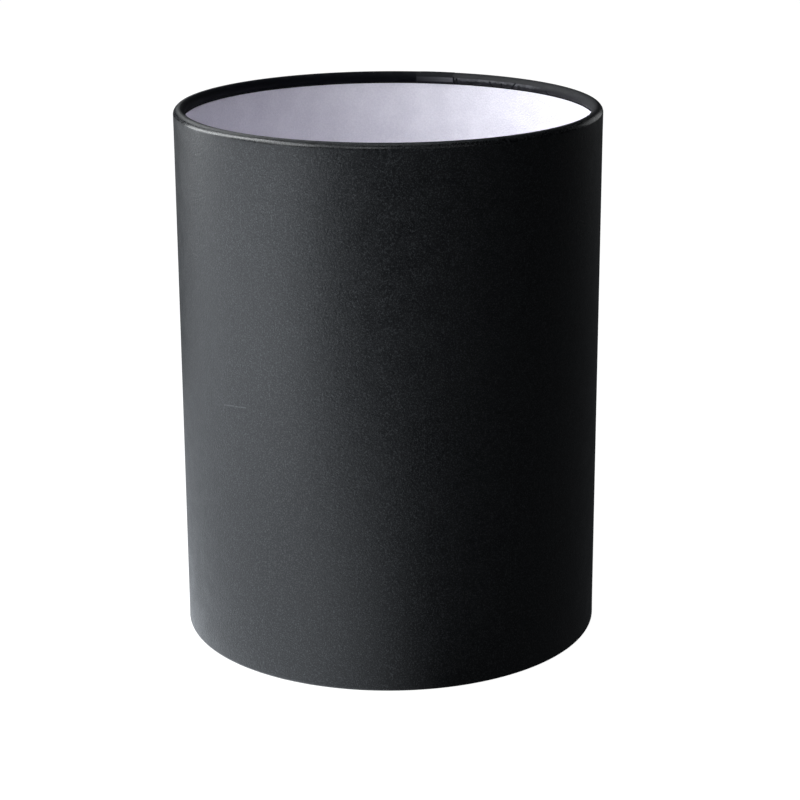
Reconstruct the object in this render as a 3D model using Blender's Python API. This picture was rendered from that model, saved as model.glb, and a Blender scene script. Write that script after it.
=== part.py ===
"""Round flower box: an open, rigid paper box, charcoal outside and white inside.

A board tube has its upper edge rolled inwards into a bead. Charcoal paper is wound
round it with a lap seam at the back, goes over the rim and down inside, and round
the foot and up inside. A white card sleeve lines the tube up to the rolled rim.
A board disc, with a paper disc on each face, is pressed into the foot.

Lengths are in metres and +Z is up. The origin is the middle of the ring that the
box stands on, and +Y points to the back.
"""

import math

import bmesh
import bpy

# Whole box
WIDTH = 0.150
HEIGHT = 0.190
CLEARANCE = 0.0003

# Board tube
TUBE_WALL = 0.0015
RIM_OVERHANG = 0.0017
FOOT_ROUND_OUTSIDE = 0.00065
FOOT_ROUND_INSIDE = 0.0003

# Charcoal wrap, with the turn of its cut edge measured from the back towards +X
WRAP_PAPER = 0.00025
RIM_TURN_IN = 0.015
FOOT_TURN_IN = 0.012
LAP_WIDTH = 0.015
LAP_RAMP = 0.004
LAP_RISE = 0.0002
LAP_FADE = 0.003
LAP_EDGE_TURN = math.radians(20.1)

# White lining
LINING_CARD = 0.00035
FLOOR_PAPER = 0.00025

# Base
BASE_BOARD = 0.002
BASE_PAPER = 0.00025
BASE_RECESS = 0.0006
COVER_MARGIN = 0.0008

# Finishes
CHARCOAL = (0.030, 0.032, 0.035)
WHITE = (0.80, 0.79, 0.82)
GREYBOARD = (0.33, 0.30, 0.26)
WRAP_ROUGHNESS = 0.5
CARD_ROUGHNESS = 0.7
BOARD_ROUGHNESS = 0.9

# Fineness of the round shapes
FACETS = 80
CROWN_FACETS = 4
BEAD_FACETS = 7
CORNER_FACETS = 3
SHARP_ANGLE = math.radians(35)
MERGE_SHARE = 0.001

# Radii of the layers of the wall, from the outside in
wrap_outside = WIDTH / 2
tube_outside = wrap_outside - WRAP_PAPER - CLEARANCE
tube_inside = tube_outside - TUBE_WALL
turn_in_outside = tube_inside - CLEARANCE
turn_in_inside = turn_in_outside - WRAP_PAPER
lining_outside = turn_in_inside - CLEARANCE
lining_inside = lining_outside - LINING_CARD
base_radius = turn_in_inside - CLEARANCE

# Rolled rim: the board's bead, and the wrap's bead round it
bead_radius = (TUBE_WALL + RIM_OVERHANG) / 2
wrap_bead_radius = bead_radius + CLEARANCE + WRAP_PAPER
bead_middle = tube_outside - bead_radius
bead_height = HEIGHT - wrap_bead_radius

# Heights of what is stacked in the foot
tube_foot = WRAP_PAPER + CLEARANCE
cover_bottom = BASE_RECESS
board_bottom = cover_bottom + BASE_PAPER + CLEARANCE
floor_bottom = board_bottom + BASE_BOARD + CLEARANCE
lining_bottom = floor_bottom + FLOOR_PAPER + CLEARANCE

# Lap seam: turns at which the lap starts to rise and stands full
lap_start = LAP_EDGE_TURN - LAP_WIDTH / wrap_outside
lap_full = lap_start + LAP_RAMP / wrap_outside


def clear_scene():
    for old in list(bpy.data.objects):
        bpy.data.objects.remove(old, do_unlink=True)


def paper(name, colour, roughness):
    material = bpy.data.materials.new(name)
    material.use_nodes = True
    shader = material.node_tree.nodes["Principled BSDF"]
    shader.inputs["Base Color"].default_value = (*colour, 1.0)
    shader.inputs["Roughness"].default_value = roughness
    shader.inputs["Metallic"].default_value = 0.0
    material.diffuse_color = (*colour, 1.0)
    return material


def arc(middle, height, radius, start, end, facets):
    """Points of an arc in the wall's section, each as its radius from the box's axis and its height."""
    points = []
    for step in range(facets + 1):
        angle = start + (end - start) * step / facets
        points.append((middle + radius * math.cos(angle), height + radius * math.sin(angle)))
    return points


def wall_line(offset):
    """The tube's surface moved out by offset: the inner and outer corner of the foot, and the rim."""
    inner_foot = arc(
        tube_inside + FOOT_ROUND_INSIDE, tube_foot + FOOT_ROUND_INSIDE,
        FOOT_ROUND_INSIDE + offset, math.pi, math.pi * 3 / 2, CORNER_FACETS,
    )
    outer_foot = arc(
        tube_outside - FOOT_ROUND_OUTSIDE, tube_foot + FOOT_ROUND_OUTSIDE,
        FOOT_ROUND_OUTSIDE + offset, -math.pi / 2, 0, CORNER_FACETS,
    )
    radius = bead_radius + offset
    crown = math.pi / 2
    meets_wall = math.tau - math.acos((tube_inside - offset - bead_middle) / radius)
    rim = arc(bead_middle, bead_height, radius, 0, crown, CROWN_FACETS)
    rim += arc(bead_middle, bead_height, radius, crown, meets_wall, BEAD_FACETS)[1:]
    return inner_foot, outer_foot, rim


def tube_section():
    inner_foot, outer_foot, rim = wall_line(0)
    return inner_foot + outer_foot + rim


def wrap_section(rise):
    """Section of the wrap. rise lifts its outside wall, where the paper laps over itself."""
    inner_foot, outer_foot, rim = wall_line(CLEARANCE + WRAP_PAPER)
    lap_bottom = outer_foot[-1][1] + LAP_FADE
    lap_top = rim[0][1] - LAP_FADE
    section = [(turn_in_inside, FOOT_TURN_IN)] + inner_foot + outer_foot
    section += [(wrap_outside + rise, lap_bottom), (wrap_outside + rise, lap_top)] + rim
    section += [(turn_in_inside, HEIGHT - RIM_TURN_IN), (turn_in_outside, HEIGHT - RIM_TURN_IN)]

    inner_foot, outer_foot, rim = wall_line(CLEARANCE)
    section += reversed(inner_foot + outer_foot + rim)
    section += [(turn_in_outside, FOOT_TURN_IN)]
    return section


def lining_section():
    """The sleeve stands on the floor paper and ends just under the rolled rim."""
    reach = wrap_bead_radius + CLEARANCE
    offset = bead_middle - lining_outside
    top = bead_height - math.sqrt(reach * reach - offset * offset)
    return [
        (lining_outside, lining_bottom), (lining_outside, top),
        (lining_inside, top), (lining_inside, lining_bottom),
    ]


def even_turns():
    """Turns about the axis, from the back towards +X, at which a round piece has its corners."""
    return [math.tau * facet / FACETS for facet in range(FACETS)]


def lap_rise(turn):
    return LAP_RISE * min(1, max(0, (turn - lap_start) / (lap_full - lap_start)))


def wrap_rings():
    """The wrap's sections in turn: up a soft ramp onto the lap, down the paper's cut edge, and round."""
    turns = sorted(even_turns() + [lap_start, lap_full])
    rings = [(turn, wrap_section(lap_rise(turn))) for turn in turns if turn < LAP_EDGE_TURN]
    rings += [(LAP_EDGE_TURN, wrap_section(LAP_RISE)), (LAP_EDGE_TURN, wrap_section(0))]
    rings += [(turn, wrap_section(0)) for turn in turns if turn > LAP_EDGE_TURN]
    return rings


def even_rings(section):
    return [(turn, section) for turn in even_turns()]


def ring_form(rings):
    """Closed ring through sections that each stand at their turn about the box's axis."""
    form = bmesh.new()
    loops = []
    for turn, section in rings:
        towards_x, towards_y = math.sin(turn), math.cos(turn)
        loops.append([form.verts.new((radius * towards_x, radius * towards_y, height))
                      for radius, height in section])
    for loop, following in zip(loops, loops[1:] + loops[:1]):
        for corner in range(len(loop)):
            form.faces.new((loop[corner - 1], loop[corner], following[corner], following[corner - 1]))
    bmesh.ops.remove_doubles(form, verts=form.verts, dist=CLEARANCE * MERGE_SHARE)
    bmesh.ops.recalc_face_normals(form, faces=form.faces)
    return form


def disc_form(radius, thickness):
    """Disc whose underside is at its own origin."""
    form = bmesh.new()
    bmesh.ops.create_cone(
        form, cap_ends=True, segments=FACETS, radius1=radius, radius2=radius, depth=thickness,
    )
    bmesh.ops.translate(form, verts=form.verts, vec=(0.0, 0.0, thickness / 2))
    return form


def add_piece(name, form, material, box, height=0.0):
    mesh = bpy.data.meshes.new(name)
    form.to_mesh(mesh)
    form.free()
    mesh.materials.append(material)
    mesh.shade_smooth()
    mesh.set_sharp_from_angle(angle=SHARP_ANGLE)
    piece = bpy.data.objects.new(name, mesh)
    bpy.context.scene.collection.objects.link(piece)
    piece.parent = box
    piece.location.z = height


def add_wall(box):
    board = paper("tube_board", GREYBOARD, BOARD_ROUGHNESS)
    wrap = paper("charcoal_wrap", CHARCOAL, WRAP_ROUGHNESS)
    card = paper("white_card", WHITE, CARD_ROUGHNESS)
    add_piece("body_tube", ring_form(even_rings(tube_section())), board, box)
    add_piece("outer_wrap", ring_form(wrap_rings()), wrap, box)
    add_piece("inner_lining", ring_form(even_rings(lining_section())), card, box)


def add_base(box):
    cover = paper("charcoal_cover", CHARCOAL, WRAP_ROUGHNESS)
    board = paper("base_greyboard", GREYBOARD, BOARD_ROUGHNESS)
    floor = paper("white_floor", WHITE, CARD_ROUGHNESS)
    cover_radius = base_radius - COVER_MARGIN
    add_piece("base_cover", disc_form(cover_radius, BASE_PAPER), cover, box, cover_bottom)
    add_piece("base_board", disc_form(base_radius, BASE_BOARD), board, box, board_bottom)
    add_piece("floor_lining", disc_form(base_radius, FLOOR_PAPER), floor, box, floor_bottom)


def build():
    clear_scene()
    box = bpy.data.objects.new("flower_box", None)
    bpy.context.scene.collection.objects.link(box)
    add_wall(box)
    add_base(box)


build()
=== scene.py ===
import math
from collections import namedtuple

import bmesh
import bpy
import numpy as np
from mathutils import Matrix, Vector


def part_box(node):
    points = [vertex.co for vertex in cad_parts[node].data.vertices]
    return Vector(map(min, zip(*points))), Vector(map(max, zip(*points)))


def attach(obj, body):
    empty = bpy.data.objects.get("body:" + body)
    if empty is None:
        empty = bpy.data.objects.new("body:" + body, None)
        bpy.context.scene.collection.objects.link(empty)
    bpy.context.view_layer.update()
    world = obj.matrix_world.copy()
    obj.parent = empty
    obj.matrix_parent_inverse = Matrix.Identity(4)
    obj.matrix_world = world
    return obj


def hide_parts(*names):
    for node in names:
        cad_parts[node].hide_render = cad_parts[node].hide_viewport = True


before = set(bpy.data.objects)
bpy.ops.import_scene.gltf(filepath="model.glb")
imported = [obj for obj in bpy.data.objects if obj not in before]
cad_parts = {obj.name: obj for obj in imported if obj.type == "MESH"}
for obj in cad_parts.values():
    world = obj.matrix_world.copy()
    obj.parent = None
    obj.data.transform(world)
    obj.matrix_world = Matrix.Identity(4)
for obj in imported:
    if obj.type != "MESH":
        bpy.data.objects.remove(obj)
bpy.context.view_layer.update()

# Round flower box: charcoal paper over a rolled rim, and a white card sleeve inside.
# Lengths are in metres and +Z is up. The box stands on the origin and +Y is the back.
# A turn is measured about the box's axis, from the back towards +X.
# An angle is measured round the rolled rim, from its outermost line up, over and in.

SEED = 11
DEGREE = math.pi / 180
HALF_TURN = math.pi
QUARTER_TURN = math.pi / 2

# Charcoal wrap
WRAP_PAPER = 0.00025
TURN_IN = 0.0026
RIM_ROUND = 0.00215
RIM_SLACK = 0.00008
FOOT_ROUND = 0.0012
FOOT_ROUND_INSIDE = 0.00085
RIM_TURN_IN = 0.015
FOOT_TURN_IN = 0.012
RIM_SHOULDER_ANGLE = 40 * DEGREE

# Lap seam
LAP_EDGE_TURN = 20.1 * DEGREE
LAP_WIDTH = 0.015
LAP_RAMP = 0.004
LAP_RISE = 0.0002
LAP_FOOT_FADE = 0.004

# Flattened paper on the inside of the rolled rim, even under the lap and ragged beside it
DROP_ANGLE = 180 * DEGREE
DROP_FADE_ANGLE = 12 * DEGREE
DROP_END_ANGLE = 228 * DEGREE
LAP_DROP_SHARE = 0.7
RAGGED_END_TURN = 56 * DEGREE
RAGGED_DROP_SHARE = 0.3
RAGGED_LIMIT_SHARE = 0.6
NICKS = 26
NICK_GAIN_SHARES = (-1, 1.6)

# Creases across the inside of the rolled rim. Each starts at its own angle, and all end at the same one
Crease = namedtuple("Crease", "turn lean depth width start")
CREASES = (
    Crease(20.5 * DEGREE, 0, 0.00022, 0.00040, 165 * DEGREE),
    Crease(21.4 * DEGREE, 0.2 * DEGREE, 0.00018, 0.00050, 178 * DEGREE),
    Crease(32.6 * DEGREE, 0.5 * DEGREE, 0.00012, 0.00050, 186 * DEGREE),
    Crease(36.8 * DEGREE, 0, 0.00010, 0.00040, 192 * DEGREE),
    Crease(42.0 * DEGREE, -1.6 * DEGREE, 0.00018, 0.00050, 172 * DEGREE),
    Crease(55.0 * DEGREE, 0, 0.00012, 0.00060, 195 * DEGREE),
)
CREASE_END_ANGLE = 225 * DEGREE
CREASE_FADE_ANGLE = 9 * DEGREE
PLEATS = 58
PLEAT_DEPTH = 0.00005
PLEAT_DEPTH_SHARES = (0.3, 1)
PLEAT_WIDTH = 0.0007
PLEAT_START_ANGLE = 150 * DEGREE

# Slight unevenness of the wound wall, a sum of slanting waves
WAVES = 7
WAVE_LOBES = (2, 9)
WAVE_SLANTS = (-3, 3)
WAVE_SHIFTS = (0, 1)
WAVE_DEPTH = 0.00005
WAVE_HEIGHT = 0.055
WAVE_FOOT_FADE = 0.0096
WAVE_RIM_FADE = 0.0086

# Fineness of the wrap
TURN_STEP = 1.2 * DEGREE
FINE_TURN_STEP = 0.25 * DEGREE
FINE_TURNS = (5 * DEGREE, 59 * DEGREE)
TURN_DECIMALS = 6
WALL_ROWS = 30
RIM_ROWS = 54
CORNER_ROWS = 8
TURN_IN_ROWS = 5
INSIDE_ROW_STEP = 3
SHARP_ANGLE = 40 * DEGREE
EDGE_STEP = 1e-6
MERGE_DISTANCE = 1e-7

# White card sleeve with a butt seam at the front
SLEEVE_CARD = 0.00035
SLEEVE_SEAM_TURN = 196 * DEGREE
SLEEVE_SEAM_GAP = 0.0005
SLEEVE_TURNS = 300
SLEEVE_ROWS = 40
SLEEVE_LOBES = (3, 5, 7, 9)
SLEEVE_WAVE_DEPTH = 0.00004
SLEEVE_EDGE = 0.00008

# Paper discs in the foot
DISC_TURNS = 240
DISC_RINGS = 30
DISC_LOBES = (2, 3, 4)
DISC_TWIST = 5
DISC_EASE_POWER = 4
DISC_COCKLE = 0.00004
DISC_EDGE = 0.00006

# Noise in the materials: how many finer layers it has, and how strong they are
PLAIN_LAYERS = 2.0
FIBRE_LAYERS = 1.0
RICH_LAYERS = 3.0
BOARD_LAYERS = 4.0
PLAIN_CRISPNESS = 0.5
GRAIN_CRISPNESS = 0.6
BOARD_CRISPNESS = 0.65
NOISE_RANGE = (0.3, 0.7)

# Charcoal paper
CHARCOAL_DARK = (0.0022, 0.0026, 0.0034, 1)
CHARCOAL = (0.0058, 0.0064, 0.0076, 1)
CHARCOAL_FIBRE = (0.036, 0.038, 0.041, 1)
CHARCOAL_WORN = (0.080, 0.084, 0.088, 1)
# Lighter paper inside the rim: rubbed paper and painted sheen
CHARCOAL_RUBBED_AND_SHEEN = (0.14, 0.14, 0.155, 1)
# Near-black of the speck, and also the painted shade inside the rim and along its creases
CHARCOAL_SPECK_AND_SHADE = (0.001, 0.0013, 0.0035, 1)
GRAIN_SIZE = 0.0008
GRAIN_TONE_SHARE = 0.7
GRAIN_BUMP = 0.00012
FIBRE_SIZE = 0.00035
FIBRE_BUMP = 0.00005
MOTTLE_SIZE = 0.006
TONE_RANGE = (0.35, 0.65)
PATCH_SIZE = 0.0022
PATCH_RANGE = (0.42, 0.68)
SPECKLE_SIZE = 0.00042
SPECKLE_RANGE = (0.46, 0.72)
PAPER_ROUGHNESS = 0.40
ROUGHNESS_SWING = 0.03
MARKED_ROUGHNESS_RISE = 0.3
PAPER_SPECULAR_SHARE = 0.38

# Its wear at the rim and the foot, its scratch and its speck
RIM_WEAR_DEPTH = 0.0016
RIM_WEAR_SHARE = 0.08
FOOT_WEAR_HEIGHT = 0.0012
FOOT_WEAR_SHARE = 0.25
Stroke = namedtuple("Stroke", "start end width")
SCRATCHES = (
    Stroke((-0.0565, -0.0493, 0.0954), (-0.0530, -0.0531, 0.0961), 0.0004),
    Stroke((-0.0530, -0.0531, 0.0961), (-0.0486, -0.0571, 0.0967), 0.0003),
)
SCRATCH_GRAIN_RANGE = (0.35, 0.6)
SCRATCH_SHARES = (0.3, 0.9)
SPECK = Stroke((0.0141, -0.0737, 0.1841), (0.0143, -0.0736, 0.1841), 0.0007)

# Its burnished shoulder on the rim
SHOULDER_START = 0.0008
SHOULDER_FULL = 0.0016
SHOULDER_ROUGHNESS = 0.27
SHOULDER_BUMP_SHARE = 0.12
RIM_SMOOTH_DEPTH = 0.0012

# Its duller inside of the rim, whose colour also holds painted shade
RIM_BLEND = 0.0004
RIM_INSIDE_FADE = RIM_ROUND / 2
RIM_INSIDE_PAINTED_SHADE = 0.7
RIM_INSIDE_ROUGHNESS = 0.72
RIM_INSIDE_SPECULAR_SHARE = 0.08
LAP_INSIDE_SPECULAR_SHARE = 0.20
DULL_END_TURN = 150 * DEGREE

# Its rubbed patches inside the rim, also carrying painted sheen, and the painted shade line along each crease
SCUFF_TURN_FADE = 0.35 * DEGREE
SCUFF_END_FADE = 12 * DEGREE
SCUFF_FADE = 0.0004
SCUFF_TOP = 0.0006
SCUFF_FOOT = 0.0007
SCUFF_SHARES = (0.3, 0.6)
LAP_SCUFF_FOOT = 0.0015
LAP_SCUFF_SHARES = (0.35, 0.8)
RAGGED_SIZE = 0.0016
RAGGED_SWING = 0.0016
CREASE_CORE_SHARE = 0.3
CREASE_MARK_SHARE = 1.25

# White card
CARD = (0.915, 0.89, 0.965, 1)
CARD_SHADE = (0.79, 0.765, 0.85, 1)
CARD_GRAIN = 0.0006
CARD_MOTTLE = 0.009
CARD_GRAIN_SHARE = 0.6
CARD_BUMP = 0.00032
CARD_ROUGHNESS_RANGE = (0.56, 0.66)
CARD_SPECULAR_SHARE = 0.3

# Greyboard
GREYBOARD = (0.30, 0.275, 0.24, 1)
GREYBOARD_DARK = (0.20, 0.18, 0.155, 1)
GREYBOARD_FLECK = (0.08, 0.075, 0.07, 1)
BOARD_FIBRE = 0.0016
BOARD_BUMP = 0.00004
BOARD_ROUGHNESS_RANGE = (0.82, 0.95)
FLECK_SIZE = 0.0022
FLECK_SQUEEZE = (1, 1, 3)
FLECK_RANGE = (0.66, 0.72)
FLECK_SHARE = 0.7

# Studio
FLOOR_SIZE = 12.0
FLOOR_PALE = (0.98, 0.98, 0.98, 1)
FLOOR_BOUNCE = (0.10, 0.10, 0.10, 1)
FLOOR_GLOW = 1.15
FLOOR_GLOW_SHARE = 0.88
WORLD_PALE = (1.0, 1.0, 1.0, 1)
WORLD_ROOM = (0.0, 0.0, 0.0, 1)
LAMP_WHITE = (0.97, 1.0, 1.01)

# Soft boxes that face the flower box, each with its power in watts
SoftBox = namedtuple("SoftBox", "name turn elevation distance width height power")
SOFT_BOXES = (
    SoftBox("window_low", -65 * DEGREE, 12 * DEGREE, 0.9, 0.32, 0.40, 2.6),
    SoftBox("window", -80 * DEGREE, 27 * DEGREE, 0.9, 0.32, 0.40, 3.5),
    SoftBox("window_high", -95 * DEGREE, 42 * DEGREE, 0.9, 0.32, 0.40, 3.9),
    SoftBox("window_front_low", -125 * DEGREE, 27 * DEGREE, 0.9, 0.32, 0.40, 1.3),
    SoftBox("window_front", -125 * DEGREE, 42 * DEGREE, 0.9, 0.32, 0.40, 2.1),
    SoftBox("front", -165 * DEGREE, 40 * DEGREE, 1.6, 0.60, 0.60, 3.2),
    SoftBox("front_right", 150 * DEGREE, 30 * DEGREE, 1.6, 0.80, 0.80, 0.9),
    SoftBox("top", 0, 89 * DEGREE, 1.6, 0.80, 0.80, 2.4),
    SoftBox("back_left", -30 * DEGREE, 38 * DEGREE, 1.6, 0.80, 0.80, 4.6),
    SoftBox("back_right", 40 * DEGREE, 10 * DEGREE, 1.6, 0.75, 0.60, 1.0),
)

# Light that the floor throws at the box, brightest to the front left, where the window's light falls.
# It has a near and a far ring, and each is brightest at its turn and spreads to the front and back of it
Glow = namedtuple("Glow", "turn front back strength")
LIT_NEAR = Glow(-146 * DEGREE, 52 * DEGREE, 160 * DEGREE, 1.8)
LIT_FAR = Glow(-131 * DEGREE, 22 * DEGREE, 100 * DEGREE, 3.9)
LIT_FLOOR_REACH = (0.0747, 0.33, 1.5)
LIT_FLOOR_HEIGHT = 0.0003
LIT_FLOOR_STEPS = 48
LIT_FLOOR_WHITE = (0.94, 1.0, 1.07, 1)
LIT_FLOOR_SHADE = 0.05

# Camera
SENSOR = 0.036
PICTURE_PIXELS = 800
FOCAL_PIXELS = 2234
CAMERA_DISTANCE = 0.8093
CAMERA_ELEVATION = 16.37 * DEGREE
CAMERA_ROLL = -0.332 * DEGREE
CAMERA_PITCH = -0.916 * DEGREE
CAMERA_YAW = 0.265 * DEGREE
METRE_IN_MILLIMETRES = 1000

wrap_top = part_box("outer_wrap")[1]
sleeve_low, sleeve_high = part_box("inner_lining")
wall_radius = wrap_top.x
height = wrap_top.z
rim_middle = wall_radius - RIM_ROUND
rim_height = height - RIM_ROUND
rim_foot = rim_height - RIM_ROUND
turn_in_radius = wall_radius - TURN_IN
lap_start = LAP_EDGE_TURN - LAP_WIDTH / wall_radius
lap_full = lap_start + LAP_RAMP / wall_radius
box_middle = Vector((0, 0, height / 2))
chance = np.random.default_rng(SEED)


def smooth(low, high, value):
    """Soft step from 0 at low to 1 at high."""
    share = np.clip((value - low) / (high - low), 0, 1)
    return share * share * (3 - 2 * share)


def bell(distance, width):
    """Soft bump, 1 at its middle and almost gone at twice its width."""
    return np.exp(-((distance / width) ** 2))


# Mesh building


def arc(middle, base, radius, start, end, steps):
    """Rows along an arc of the wall's section: radius, height and the way out of the paper there."""
    angles = np.linspace(start, end, steps + 1)
    outward = np.column_stack([np.cos(angles), np.sin(angles)])
    return np.column_stack([middle + radius * outward[:, 0], base + radius * outward[:, 1], outward])


def line(start, end, steps):
    """Rows along a straight part of the section, without its two ends."""
    share = np.linspace(0, 1, steps + 2)[1:-1, None]
    along = np.subtract(end, start)
    outward = np.array([along[1], -along[0]]) / np.hypot(*along)
    points = np.array(start) + share * along
    return np.column_stack([points, np.tile(outward, (steps, 1))])


def quads(loops, size, closed):
    """Faces between neighbouring loops of the same size, and from the last back to the first if closed."""
    here = np.arange(loops if closed else loops - 1)[:, None] * size
    beyond = (here + size) % (loops * size)
    step = np.arange(size)[None, :]
    after = (step + 1) % size
    faces = np.stack([here + step, here + after, beyond + after, beyond + step], -1)
    return faces.reshape(-1, faces.shape[-1]).tolist()


def clean_mesh(name, corners, faces):
    """Mesh with doubled corners merged and its faces turned outwards."""
    mesh = bpy.data.meshes.new(name)
    mesh.from_pydata(corners.tolist(), [], faces)
    form = bmesh.new()
    form.from_mesh(mesh)
    bmesh.ops.remove_doubles(form, verts=form.verts, dist=MERGE_DISTANCE)
    bmesh.ops.recalc_face_normals(form, faces=form.faces)
    form.to_mesh(mesh)
    form.free()
    return mesh


def grid_mesh(name, rings, closed=True):
    """Mesh through closed sections of the same number of points, each an array of x, y and z.
    An open row of sections gets a face over each end."""
    count, rows = len(rings), len(rings[0])
    faces = quads(count, rows, closed)
    if not closed:
        faces.append(list(range(rows))[::-1])
        faces.append(list(range((count - 1) * rows, count * rows)))
    return clean_mesh(name, np.concatenate(rings), faces)


def turned(section, turn):
    """Section of radius and height, stood at its turn about the axis."""
    radius, z = section[:, 0], section[:, 1]
    return np.column_stack([radius * math.sin(turn), radius * math.cos(turn), z])


def add_piece(name, mesh, material, node):
    """Piece that stands for a CAD node."""
    mesh.materials.append(material)
    mesh.shade_smooth()
    mesh.set_sharp_from_angle(angle=SHARP_ANGLE)
    piece = bpy.data.objects.new(name, mesh)
    bpy.context.scene.collection.objects.link(piece)
    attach(piece, "root")
    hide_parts(node)
    return piece


# Charcoal wrap


def wrap_rows():
    """Rows of the wrap's outside, from the turn-in under the foot up to the turn-in inside the rim,
    and each row's angle round the rolled rim, which is 0 below it."""
    meets_wall = math.tau - math.acos((turn_in_radius - rim_middle) / RIM_ROUND)
    inner = arc(turn_in_radius + FOOT_ROUND_INSIDE, FOOT_ROUND_INSIDE, FOOT_ROUND_INSIDE,
                HALF_TURN, HALF_TURN + QUARTER_TURN, CORNER_ROWS)
    outer = arc(wall_radius - FOOT_ROUND, FOOT_ROUND, FOOT_ROUND, -QUARTER_TURN, 0, CORNER_ROWS)
    rim = arc(rim_middle, rim_height, RIM_ROUND, 0, meets_wall, RIM_ROWS)
    below = line((turn_in_radius, FOOT_TURN_IN), (turn_in_radius, inner[0, 1]), TURN_IN_ROWS)
    wall = line((wall_radius, outer[-1, 1]), (wall_radius, rim[0, 1]), WALL_ROWS)
    tail = line((turn_in_radius, rim[-1, 1]), (turn_in_radius, height - RIM_TURN_IN), TURN_IN_ROWS)
    under_rim = np.concatenate([below, inner, outer, wall])
    rows = np.concatenate([under_rim, rim, tail])
    angles = np.concatenate([
        np.zeros(len(under_rim)), np.linspace(0, meets_wall, len(rim)), np.full(len(tail), meets_wall),
    ])
    return rows, angles


def wrap_turns():
    """Turns at which the wrap has a section, close together over the lap and the creases."""
    coarse = np.arange(0, math.tau, TURN_STEP)
    coarse = coarse[(coarse < FINE_TURNS[0]) | (coarse > FINE_TURNS[1])]
    turns = np.concatenate([coarse, np.arange(*FINE_TURNS, FINE_TURN_STEP), [lap_start, lap_full]])
    near_edge = abs(turns - LAP_EDGE_TURN) < FINE_TURN_STEP / 2
    return np.unique(np.round(turns[~near_edge], TURN_DECIMALS))


def lap_share(turn):
    """How far the lap has risen at a turn: up its soft ramp, and nothing past the cut edge."""
    if turn > LAP_EDGE_TURN:
        return 0.0
    return float(smooth(lap_start, lap_full, turn))


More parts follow.
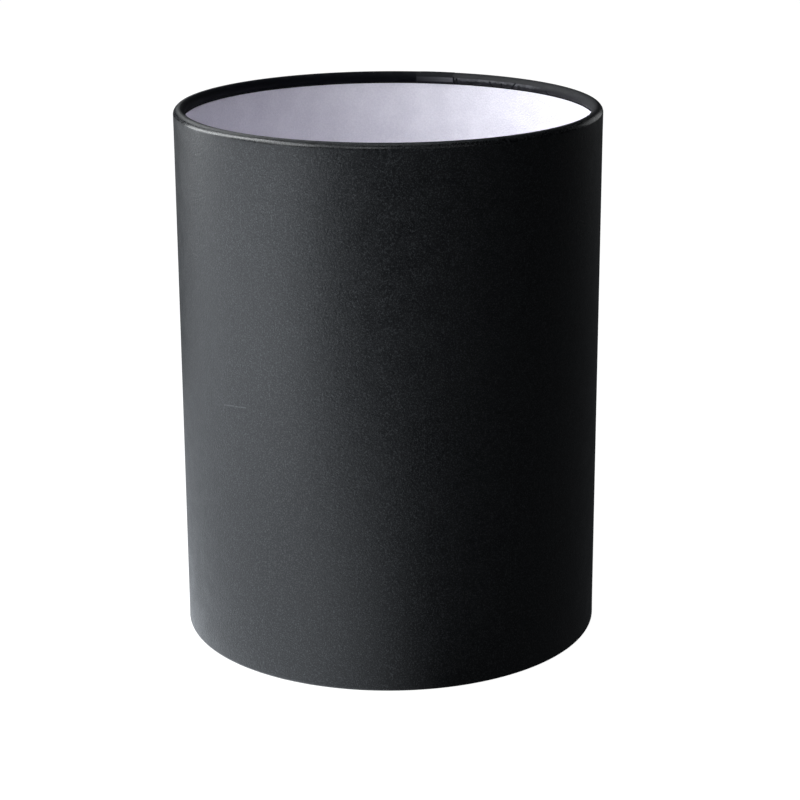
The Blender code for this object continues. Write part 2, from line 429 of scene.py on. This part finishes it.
class Wrap:
    """Charcoal paper over the tube, with its waves, pleats and nicks drawn by chance."""

    def __init__(self):
        self.rows, self.angles = wrap_rows()
        self.waves = [
            (chance.integers(*WAVE_LOBES), chance.uniform(0, math.tau),
             chance.uniform(*WAVE_SLANTS), chance.uniform(*WAVE_SHIFTS))
            for _ in range(WAVES)
        ]
        self.pleats = [
            (chance.uniform(0, math.tau), PLEAT_DEPTH * chance.uniform(*PLEAT_DEPTH_SHARES))
            for _ in range(PLEATS)
        ]
        self.nicks = [
            (chance.uniform(LAP_EDGE_TURN, RAGGED_END_TURN), chance.uniform(*NICK_GAIN_SHARES))
            for _ in range(NICKS)
        ]

    def wall_dent(self, turn, z):
        """Inward dent of the wall at a turn, gone at the foot and the rim."""
        dent = np.zeros(len(z))
        for lobes, phase, slant, shift in self.waves:
            dent += np.sin(lobes * turn + phase + slant * z / WAVE_HEIGHT + shift)
        depth = WAVE_DEPTH * (1 + dent / len(self.waves))
        return depth * smooth(0, WAVE_FOOT_FADE, z) * smooth(0, WAVE_RIM_FADE, rim_height - z)

    def crease_depth(self, turn):
        """Depth of the creases and pleats at a turn, for each row."""
        depth = np.zeros(len(self.angles))
        for crease in CREASES:
            along = (self.angles - crease.start) / (CREASE_END_ANGLE - crease.start)
            middle = crease.turn + crease.lean * along
            window = smooth(crease.start, crease.start + CREASE_FADE_ANGLE, self.angles)
            window = window * smooth(CREASE_END_ANGLE, CREASE_END_ANGLE - CREASE_FADE_ANGLE, self.angles)
            depth += crease.depth * bell((turn - middle) * turn_in_radius, crease.width) * window
        window = smooth(PLEAT_START_ANGLE, HALF_TURN, self.angles)
        for at, deep in self.pleats:
            away = (turn - at + HALF_TURN) % math.tau - HALF_TURN
            depth += deep * bell(away * turn_in_radius, PLEAT_WIDTH) * window
        return depth

    def drop_share(self, turn):
        """How straight the paper drops from the rim's innermost line at a turn: evenly under the lap,
        and raggedly beside it."""
        lap = LAP_DROP_SHARE * lap_share(turn)
        if not LAP_EDGE_TURN < turn < RAGGED_END_TURN:
            return lap
        beside = RAGGED_DROP_SHARE
        for at, gain in self.nicks:
            beside *= 1 + gain * bell((turn - at) * turn_in_radius, PLEAT_WIDTH)
        beside = min(beside, RAGGED_LIMIT_SHARE)
        beside *= float(smooth(RAGGED_END_TURN, RAGGED_END_TURN - LAP_RAMP / wall_radius, turn))
        return max(lap, beside)

    def section(self, turn):
        """Closed section of the paper at a turn."""
        radius, z, outward = self.rows[:, 0], self.rows[:, 1], self.rows[:, 2:]
        over_rim = self.angles > 0
        outside = over_rim | (radius >= wall_radius - FOOT_ROUND)
        lap = lap_share(turn)
        shoulder = smooth(0, RIM_SHOULDER_ANGLE, self.angles)
        rise = (LAP_RISE * (1 - shoulder) + RIM_SLACK * shoulder) * lap
        move = rise * smooth(0, LAP_FOOT_FADE, z) * outside - RIM_SLACK * shoulder
        move = move - self.wall_dent(turn, z) * (outside & ~over_rim) - self.crease_depth(turn)
        surface = np.column_stack([radius, z]) + outward * move[:, None]
        drop = self.drop_share(turn) * smooth(DROP_ANGLE, DROP_ANGLE + DROP_FADE_ANGLE, self.angles)
        drop = drop * smooth(self.angles[-1], DROP_END_ANGLE, self.angles)
        innermost = rim_middle - RIM_ROUND + RIM_SLACK
        surface[:, 0] += (innermost - surface[:, 0]) * drop
        # the lap's end inside the rim hangs a little lower than the end of the paper under it
        surface[-1, 1] -= LAP_RISE * lap
        inner_rows = list(range(0, len(z), INSIDE_ROW_STEP))
        if inner_rows[-1] != len(z) - 1:
            inner_rows.append(len(z) - 1)
        inner = surface[inner_rows] - outward[inner_rows] * WRAP_PAPER
        return np.concatenate([surface, inner[::-1]])

    def mesh(self):
        """Sections all the way round, with one on each side of the lap's cut edge."""
        turns = wrap_turns()
        rings = [turned(self.section(turn), turn) for turn in turns[turns < LAP_EDGE_TURN]]
        for side in (LAP_EDGE_TURN - EDGE_STEP, LAP_EDGE_TURN + EDGE_STEP):
            rings.append(turned(self.section(side), LAP_EDGE_TURN))
        rings += [turned(self.section(turn), turn) for turn in turns[turns > LAP_EDGE_TURN]]
        return grid_mesh("charcoal_wrap", rings)


def dull_rim_inside(mesh, dull, half_dull):
    """Gives the inside of the rolled rim duller paper: the dullest on the left, and the less dull
    on the lap and at the front."""
    dull_slot, half_dull_slot = len(mesh.materials), len(mesh.materials) + 1
    mesh.materials.append(dull)
    mesh.materials.append(half_dull)
    for face in mesh.polygons:
        middle = face.center
        if middle.xy.length > rim_middle - RIM_BLEND or middle.z < rim_foot:
            continue
        turn = math.atan2(middle.x, middle.y)
        if -DULL_END_TURN < turn < lap_start:
            face.material_index = dull_slot
        elif turn < LAP_EDGE_TURN or turn > DULL_END_TURN:
            face.material_index = half_dull_slot


# White sleeve and the discs in the foot


def sleeve_mesh():
    """Softly waved card sleeve, with a narrow gap between its two ends."""
    outside, top, bottom = sleeve_high.x, sleeve_high.z, sleeve_low.z
    inside = outside - SLEEVE_CARD
    section = np.concatenate([
        [(outside, bottom + SLEEVE_EDGE)],
        line((outside, bottom), (outside, top), SLEEVE_ROWS)[:, :2],
        [(outside, top - SLEEVE_EDGE), (outside - SLEEVE_EDGE, top)],
        [(inside + SLEEVE_EDGE, top), (inside, top - SLEEVE_EDGE)],
        line((inside, top), (inside, bottom), SLEEVE_ROWS)[:, :2],
        [(inside, bottom + SLEEVE_EDGE), (inside + SLEEVE_EDGE, bottom), (outside - SLEEVE_EDGE, bottom)],
    ])
    half_gap = SLEEVE_SEAM_GAP / outside / 2
    phases = chance.uniform(0, math.tau, len(SLEEVE_LOBES))
    start, end = SLEEVE_SEAM_TURN + half_gap, SLEEVE_SEAM_TURN + math.tau - half_gap
    rings = []
    for turn in np.linspace(start, end, SLEEVE_TURNS):
        wave = np.mean([math.sin(lobes * turn + phase) for lobes, phase in zip(SLEEVE_LOBES, phases)])
        inward = SLEEVE_WAVE_DEPTH * (1 + wave) / 2
        rings.append(turned(section - [inward, 0], turn))
    return grid_mesh("white_sleeve", rings, closed=False)


def disc_mesh(name, node):
    """Paper disc with softly cockled faces and an eased edge."""
    low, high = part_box(node)
    turns = np.linspace(0, math.tau, DISC_TURNS, endpoint=False)
    phases = chance.uniform(0, math.tau, len(DISC_LOBES))
    shares = np.linspace(0, 1, DISC_RINGS + 1)[1:]
    face_radius = high.x - DISC_EDGE

    def loop(radius, z):
        return np.column_stack([radius * np.sin(turns), radius * np.cos(turns), np.full_like(turns, z)])

    def cockle(share):
        """Depth of the cockle round a loop at a share of the radius, none at the middle and the edge."""
        twist = DISC_TWIST * share
        lobes = [np.sin(count * turns + phase + twist) for count, phase in zip(DISC_LOBES, phases)]
        return DISC_COCKLE * share * (1 - share ** DISC_EASE_POWER) * (np.mean(lobes, axis=0) + 1) / 2

    loops = [loop(face_radius * share, high.z - cockle(share)) for share in shares]
    loops += [loop(high.x, high.z - DISC_EDGE), loop(high.x, low.z + DISC_EDGE)]
    loops += [loop(face_radius * share, low.z + cockle(share)) for share in shares[::-1]]
    corners = np.concatenate(loops + [[(0, 0, high.z)], [(0, 0, low.z)]])
    faces = quads(len(loops), DISC_TURNS, closed=False)
    last = (len(loops) - 1) * DISC_TURNS
    top_middle, bottom_middle = len(corners) - 2, len(corners) - 1
    for step in range(DISC_TURNS):
        after = (step + 1) % DISC_TURNS
        faces.append((top_middle, after, step))
        faces.append((bottom_middle, last + step, last + after))
    return clean_mesh(name, corners, faces)


# Materials


class Tree:
    """Node tree of a material or a world, with short ways to add to it."""

    def __init__(self, owner):
        owner.use_nodes = True
        self.owner = owner
        self.tree = owner.node_tree
        self.shader = self.tree.nodes.get("Principled BSDF")
        self.coordinates = None

    @property
    def point(self):
        """Place on the object, in its own coordinates."""
        if self.coordinates is None:
            self.coordinates = self.add("ShaderNodeTexCoord")
        return self.coordinates.outputs["Object"]

    def add(self, kind, **settings):
        node = self.tree.nodes.new(kind)
        for key, value in settings.items():
            setattr(node, key, value)
        return node

    def feed(self, socket, value):
        """Joins a socket to another one, or sets its value."""
        if isinstance(value, bpy.types.NodeSocket):
            self.tree.links.new(value, socket)
        else:
            socket.default_value = value

    def feed_all(self, sockets, values):
        for socket, value in zip(sockets, values):
            self.feed(socket, value)

    def noise(self, size, layers=PLAIN_LAYERS, crispness=PLAIN_CRISPNESS, squeeze=None):
        """Noise from 0 to 1 with features of about the given size, squeezed along x, y and z if asked."""
        point = self.point
        if squeeze:
            mapping = self.add("ShaderNodeMapping")
            self.feed(mapping.inputs["Vector"], point)
            mapping.inputs["Scale"].default_value = squeeze
            point = mapping.outputs["Vector"]
        node = self.add("ShaderNodeTexNoise")
        self.feed(node.inputs["Vector"], point)
        node.inputs["Scale"].default_value = 1 / size
        node.inputs["Detail"].default_value = layers
        node.inputs["Roughness"].default_value = crispness
        return node.outputs["Fac"]

    def math(self, operation, *values, clamp=False):
        node = self.add("ShaderNodeMath", operation=operation, use_clamp=clamp)
        self.feed_all(node.inputs, values)
        return node.outputs["Value"]

    def chain(self, operation, values):
        """One value from two or more, by the same operation on each in turn."""
        result, *others = values
        for value in others:
            result = self.math(operation, result, value)
        return result

    def product(self, *values):
        return self.chain("MULTIPLY", values)

    def total(self, *values):
        return self.chain("ADD", values)

    def highest(self, *values):
        return self.chain("MAXIMUM", values)

    def rest(self, share):
        """What a share leaves of 1."""
        return self.math("SUBTRACT", 1.0, share)

    def blend(self, first, second, share):
        """The first value by its share and the second by the rest."""
        return self.total(self.product(first, share), self.product(second, 1 - share))

    def ramp(self, value, low, high, start=0.0, end=1.0, kind="SMOOTHSTEP"):
        """Value taken from the range low to high into start to end."""
        node = self.add("ShaderNodeMapRange", interpolation_type=kind)
        sockets = [node.inputs[name] for name in ("Value", "From Min", "From Max", "To Min", "To Max")]
        self.feed_all(sockets, (value, low, high, start, end))
        return node.outputs["Result"]

    def mix(self, share, first, second):
        """Colour between two others."""
        node = self.add("ShaderNodeMix", data_type="RGBA")
        colours = [socket for socket in node.inputs if socket.type == "RGBA"]
        self.feed_all([node.inputs["Factor"], *colours], (share, first, second))
        return next(socket for socket in node.outputs if socket.type == "RGBA")

    def bump(self, height, distance, strength=1.0, under=None):
        node = self.add("ShaderNodeBump")
        self.feed(node.inputs["Height"], height)
        self.feed(node.inputs["Strength"], strength)
        node.inputs["Distance"].default_value = distance
        if under:
            self.feed(node.inputs["Normal"], under)
        return node.outputs["Normal"]

    def parts(self, vector):
        """x, y and z of a vector."""
        node = self.add("ShaderNodeSeparateXYZ")
        self.feed(node.inputs["Vector"], vector)
        return node.outputs["X"], node.outputs["Y"], node.outputs["Z"]

    def vector(self, operation, *values):
        node = self.add("ShaderNodeVectorMath", operation=operation)
        self.feed_all(node.inputs, values)
        return node.outputs["Value" if operation in ("DOT_PRODUCT", "LENGTH") else "Vector"]

    def stroke(self, mark):
        """Mask that is 1 along a thin line between two points and fades out at its width."""
        start = Vector(mark.start)
        along = Vector(mark.end) - start
        away = self.vector("SUBTRACT", self.point, start)
        share = self.math("DIVIDE", self.vector("DOT_PRODUCT", away, along), along.length_squared, clamp=True)
        scaled = self.add("ShaderNodeVectorMath", operation="SCALE")
        scaled.inputs["Vector"].default_value = along
        self.feed(scaled.inputs["Scale"], share)
        gap = self.vector("SUBTRACT", away, scaled.outputs["Vector"])
        return self.ramp(self.vector("LENGTH", gap), mark.width, 0.0)

    def glow(self, colour, strength):
        """Shader that gives off light."""
        node = self.add("ShaderNodeEmission")
        node.inputs["Color"].default_value = colour
        self.feed(node.inputs["Strength"], strength)
        return node.outputs["Emission"]

    def mix_shaders(self, share, first, second):
        node = self.add("ShaderNodeMixShader")
        self.feed_all(node.inputs, (share, first, second))
        return node.outputs["Shader"]

    def dress(self, colour, roughness, normal):
        """Feeds the shader that the material came with."""
        sockets = [self.shader.inputs[name] for name in ("Base Color", "Roughness", "Normal")]
        self.feed_all(sockets, (colour, roughness, normal))

    def show(self, shader):
        """Puts another shader in place of the one that the material came with."""
        self.tree.nodes.remove(self.shader)
        self.feed(self.tree.nodes["Material Output"].inputs["Surface"], shader)


def new_material(name):
    return Tree(bpy.data.materials.new(name))


def rim_rubbing_and_sheen(t, turn, z, patchy):
    """Mask of rubbed paper with painted sheen on the inside of the rim: even on the lap, patchy beside it."""
    top = t.ramp(z, rim_height + SCUFF_TOP, rim_height + SCUFF_TOP - SCUFF_FADE)
    rubbed = t.ramp(turn, lap_start, LAP_EDGE_TURN, *LAP_SCUFF_SHARES, kind="LINEAR")
    lap = t.product(
        t.ramp(turn, lap_start, lap_start + SCUFF_TURN_FADE),
        t.ramp(turn, LAP_EDGE_TURN + SCUFF_TURN_FADE, LAP_EDGE_TURN),
        t.product(rubbed, rubbed),
        t.ramp(z, rim_height - LAP_SCUFF_FOOT, rim_height - LAP_SCUFF_FOOT + SCUFF_FADE),
    )
    ragged = t.math("MULTIPLY_ADD", t.noise(RAGGED_SIZE, RICH_LAYERS), RAGGED_SWING, -RAGGED_SWING / 2)
    beside = t.product(
        t.ramp(turn, LAP_EDGE_TURN, LAP_EDGE_TURN + SCUFF_TURN_FADE),
        t.ramp(turn, RAGGED_END_TURN, RAGGED_END_TURN - SCUFF_END_FADE),
        t.ramp(t.total(z, ragged), rim_height - SCUFF_FOOT, rim_height - SCUFF_FOOT + SCUFF_FADE),
        t.ramp(patchy, 0.0, 1.0, *SCUFF_SHARES),
    )
    return t.product(top, t.highest(lap, beside))


def rim_crease_shade(t, turn, z):
    """Mask of painted shade along the creases across the inside of the rim."""
    end = rim_height + RIM_ROUND * math.sin(CREASE_END_ANGLE)
    marks = []
    for crease in CREASES:
        start = rim_height + RIM_ROUND * math.sin(crease.start)
        middle = t.total(t.ramp(z, start, end, 0.0, crease.lean, kind="LINEAR"), crease.turn)
        away = t.product(t.math("ABSOLUTE", t.math("SUBTRACT", turn, middle)), turn_in_radius)
        across = t.ramp(away, crease.width * CREASE_MARK_SHARE, crease.width * CREASE_CORE_SHARE)
        marks.append(t.product(across, t.ramp(z, start + SCUFF_FADE, start)))
    return t.highest(*marks)


def charcoal_paper(name, specular_share):
    """Charcoal paper with grain and wear, burnished on the rim's shoulder, and dull and rubbed inside it,
    with painted shade inside the rim and along its creases, and painted sheen on its rubbed patches.
    """
    t = new_material(name)
    x, y, z = t.parts(t.point)
    turn = t.math("ARCTAN2", x, y)
    radius = t.math("SQRT", t.total(t.product(x, x), t.product(y, y)))
    grain = t.noise(GRAIN_SIZE, RICH_LAYERS, GRAIN_CRISPNESS)
    fibre = t.noise(FIBRE_SIZE, FIBRE_LAYERS)
    mottle = t.noise(MOTTLE_SIZE, RICH_LAYERS)
    patchy = t.ramp(t.noise(PATCH_SIZE, RICH_LAYERS), *PATCH_RANGE)
    speckle = t.ramp(t.noise(SPECKLE_SIZE), *SPECKLE_RANGE)

    # where the paper is worn, scratched, creased, rubbed or shiny, and where painted shade and painted sheen
    # lie inside the rim
    edges = t.highest(
        t.ramp(z, height - RIM_WEAR_DEPTH, height, 0.0, RIM_WEAR_SHARE),
        t.ramp(z, FOOT_WEAR_HEIGHT, 0.0, 0.0, FOOT_WEAR_SHARE),
    )
    scratch = t.highest(*[t.stroke(mark) for mark in SCRATCHES])
    scratch = t.product(scratch, t.ramp(grain, *SCRATCH_GRAIN_RANGE, *SCRATCH_SHARES))
    marks = t.highest(t.product(edges, patchy), scratch)
    inside = t.product(
        t.ramp(z, rim_foot - RIM_INSIDE_FADE, rim_foot),
        t.ramp(radius, rim_middle + RIM_BLEND, rim_middle - RIM_BLEND),
    )
    # painted shade along each crease inside the rim
    creases = t.product(rim_crease_shade(t, turn, z), inside)
    rubbing_and_sheen = t.product(rim_rubbing_and_sheen(t, turn, z, patchy), inside, t.rest(creases))
    speck_and_crease_shade = t.highest(t.stroke(SPECK), creases)
    shoulder = t.product(
        t.ramp(z, rim_height, rim_height + RIM_BLEND),
        t.ramp(radius, rim_middle + SHOULDER_START, rim_middle + SHOULDER_FULL),
    )

    tone = t.ramp(t.blend(grain, mottle, GRAIN_TONE_SHARE), *TONE_RANGE)
    colour = t.mix(tone, CHARCOAL_DARK, CHARCOAL)
    colour = t.mix(t.product(speckle, t.rest(inside)), colour, CHARCOAL_FIBRE)
    # painted shade: the inside of the rolled rim is drawn towards near-black
    colour = t.mix(t.product(inside, RIM_INSIDE_PAINTED_SHADE), colour, CHARCOAL_SPECK_AND_SHADE)
    colour = t.mix(marks, colour, CHARCOAL_WORN)
    # rubbed paper and painted sheen inside the rim
    colour = t.mix(rubbing_and_sheen, colour, CHARCOAL_RUBBED_AND_SHEEN)
    # the real speck, and painted shade along the creases
    colour = t.mix(speck_and_crease_shade, colour, CHARCOAL_SPECK_AND_SHADE)

    rough = t.total(
        t.ramp(mottle, *NOISE_RANGE, PAPER_ROUGHNESS - ROUGHNESS_SWING, PAPER_ROUGHNESS + ROUGHNESS_SWING),
        t.ramp(grain, *NOISE_RANGE, -ROUGHNESS_SWING, ROUGHNESS_SWING),
        t.product(shoulder, SHOULDER_ROUGHNESS - PAPER_ROUGHNESS),
        t.product(inside, RIM_INSIDE_ROUGHNESS - PAPER_ROUGHNESS),
        t.product(t.highest(marks, speck_and_crease_shade), MARKED_ROUGHNESS_RISE),
    )
    strength = t.ramp(z, rim_height - RIM_SMOOTH_DEPTH, rim_height, 1.0, SHOULDER_BUMP_SHARE)
    normal = t.bump(fibre, FIBRE_BUMP, strength, t.bump(grain, GRAIN_BUMP, strength))
    t.dress(colour, t.math("MINIMUM", rough, 1.0), normal)
    t.shader.inputs["Specular IOR Level"].default_value = specular_share
    return t.owner


def white_card():
    """Softly mottled white card."""
    t = new_material("sleeve_card")
    grain = t.noise(CARD_GRAIN, RICH_LAYERS, GRAIN_CRISPNESS)
    mottle = t.noise(CARD_MOTTLE, RICH_LAYERS)
    tone = t.ramp(t.blend(grain, mottle, CARD_GRAIN_SHARE), *NOISE_RANGE)
    rough = t.ramp(mottle, *NOISE_RANGE, *CARD_ROUGHNESS_RANGE)
    t.dress(t.mix(tone, CARD_SHADE, CARD), rough, t.bump(grain, CARD_BUMP))
    t.shader.inputs["Specular IOR Level"].default_value = CARD_SPECULAR_SHARE
    return t.owner


def greyboard():
    """Grey pulp board with dark flecks."""
    t = new_material("tube_board")
    fibre = t.noise(BOARD_FIBRE, BOARD_LAYERS, BOARD_CRISPNESS)
    fleck = t.ramp(t.noise(FLECK_SIZE, squeeze=FLECK_SQUEEZE), *FLECK_RANGE)
    colour = t.mix(fibre, GREYBOARD_DARK, GREYBOARD)
    colour = t.mix(t.product(fleck, FLECK_SHARE), colour, GREYBOARD_FLECK)
    t.dress(colour, t.ramp(fibre, *NOISE_RANGE, *BOARD_ROUGHNESS_RANGE), t.bump(fibre, BOARD_BUMP))
    return t.owner


def dress_nodes(material, *names):
    """Gives CAD nodes that stay as they are their material."""
    for name in names:
        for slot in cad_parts[name].material_slots:
            slot.material = material


# Studio


def add_floor():
    """Pale floor that lights the box little, and that is clear from below."""
    half = FLOOR_SIZE / 2
    mesh = bpy.data.meshes.new("floor")
    corners = [(-half, -half, 0), (half, -half, 0), (half, half, 0), (-half, half, 0)]
    mesh.from_pydata(corners, [], [(0, 1, 2, 3)])
    floor = bpy.data.objects.new("floor", mesh)
    bpy.context.scene.collection.objects.link(floor)
    t = new_material("pale_floor")
    seen = t.add("ShaderNodeLightPath").outputs["Is Camera Ray"]
    under = t.add("ShaderNodeNewGeometry").outputs["Backfacing"]
    pale = t.add("ShaderNodeBsdfDiffuse")
    t.feed(pale.inputs["Color"], t.mix(seen, FLOOR_BOUNCE, FLOOR_PALE))
    glow = t.glow(FLOOR_PALE, FLOOR_GLOW)
    soft = t.mix_shaders(t.product(seen, FLOOR_GLOW_SHARE), pale.outputs["BSDF"], glow)
    clear = t.add("ShaderNodeBsdfTransparent").outputs["BSDF"]
    t.show(t.mix_shaders(under, soft, clear))
    mesh.materials.append(t.owner)


def lit_strength(t, glow):
    """Strength of a glow round the box, falling off softly to the front and to the back of its turn."""
    spun = t.add("ShaderNodeVectorRotate", rotation_type="Z_AXIS")
    t.feed(spun.inputs["Vector"], t.point)
    spun.inputs["Angle"].default_value = glow.turn
    x, y, _ = t.parts(spun.outputs["Vector"])
    away = t.math("ARCTAN2", x, y)
    return t.product(t.ramp(away, -glow.front, 0.0), t.ramp(away, glow.back, 0.0), glow.strength)


def add_lit_floor():
    """Flat rings on the floor that light the box but aren't seen themselves."""
    corners = []
    for reach in LIT_FLOOR_REACH:
        for step in range(LIT_FLOOR_STEPS):
            turn = math.tau * step / LIT_FLOOR_STEPS
            corners.append((reach * math.sin(turn), reach * math.cos(turn), LIT_FLOOR_HEIGHT))
    mesh = bpy.data.meshes.new("lit_floor")
    mesh.from_pydata(corners, [], quads(len(LIT_FLOOR_REACH), LIT_FLOOR_STEPS, closed=False))
    patch = bpy.data.objects.new("lit_floor", mesh)
    patch.visible_camera = False
    patch.visible_shadow = False
    bpy.context.scene.collection.objects.link(patch)
    t = new_material("lit_floor")
    middle = LIT_FLOOR_REACH[1]
    far = t.ramp(t.vector("LENGTH", t.point), middle - LIT_FLOOR_HEIGHT, middle + LIT_FLOOR_HEIGHT)
    near_light = t.product(lit_strength(t, LIT_NEAR), t.rest(far))
    far_light = t.product(lit_strength(t, LIT_FAR), far)
    t.show(t.glow(LIT_FLOOR_WHITE, t.total(near_light, far_light, LIT_FLOOR_SHADE)))
    mesh.materials.append(t.owner)


def set_world():
    """White behind the box, and no light from the room."""
    world = bpy.data.worlds.new("studio")
    bpy.context.scene.world = world
    t = Tree(world)
    seen = t.add("ShaderNodeLightPath").outputs["Is Camera Ray"]
    t.feed(t.tree.nodes["Background"].inputs["Color"], t.mix(seen, WORLD_ROOM, WORLD_PALE))


def add_soft_box(box):
    """Soft lamp that faces the middle of the flower box and isn't seen itself."""
    lamp = bpy.data.lights.new(box.name, "AREA")
    lamp.shape = "RECTANGLE"
    lamp.size = box.width
    lamp.size_y = box.height
    lamp.energy = box.power
    lamp.color = LAMP_WHITE
    level = math.cos(box.elevation)
    away = Vector((math.sin(box.turn) * level, math.cos(box.turn) * level, math.sin(box.elevation)))
    holder = bpy.data.objects.new(box.name, lamp)
    holder.location = box_middle + away * box.distance
    holder.rotation_mode = "QUATERNION"
    holder.rotation_quaternion = away.to_track_quat("Z", "Y")
    holder.visible_camera = False
    bpy.context.scene.collection.objects.link(holder)


def add_camera():
    """Camera at the photograph's angle, with its lens in millimetres."""
    away = Vector((0, -math.cos(CAMERA_ELEVATION), math.sin(CAMERA_ELEVATION)))
    look = away.to_track_quat("Z", "Y").to_matrix().to_4x4()
    look = look @ Matrix.Rotation(CAMERA_ROLL, 4, "Z") @ Matrix.Rotation(CAMERA_PITCH, 4, "X")
    look = look @ Matrix.Rotation(-CAMERA_YAW, 4, "Y")
    data = bpy.data.cameras.new("camera")
    data.sensor_width = SENSOR * METRE_IN_MILLIMETRES
    data.lens = SENSOR * FOCAL_PIXELS / PICTURE_PIXELS * METRE_IN_MILLIMETRES
    camera = bpy.data.objects.new("camera", data)
    camera.matrix_world = Matrix.Translation(box_middle + away * CAMERA_DISTANCE) @ look
    bpy.context.scene.collection.objects.link(camera)
    bpy.context.scene.camera = camera


def build_box():
    """The flower box: four dressed pieces, and two CAD nodes that stay as they are."""
    paper = charcoal_paper("wrap_paper", PAPER_SPECULAR_SHARE)
    rim_paper = charcoal_paper("rim_paper", RIM_INSIDE_SPECULAR_SHARE)
    lap_paper = charcoal_paper("lap_paper", LAP_INSIDE_SPECULAR_SHARE)
    card = white_card()
    wrap = add_piece("charcoal_wrap", Wrap().mesh(), paper, "outer_wrap")
    dull_rim_inside(wrap.data, rim_paper, lap_paper)
    sleeve = add_piece("white_sleeve", sleeve_mesh(), card, "inner_lining")
    floor_paper = add_piece("floor_paper", disc_mesh("floor_paper", "floor_lining"), card, "floor_lining")
    base_paper = add_piece("base_paper", disc_mesh("base_paper", "base_cover"), paper, "base_cover")
    dress_nodes(greyboard(), "body_tube", "base_board")


build_box()
add_floor()
add_lit_floor()
set_world()
for soft_box in SOFT_BOXES:
    add_soft_box(soft_box)
add_camera()
bpy.context.scene.view_settings.view_transform = "Standard"
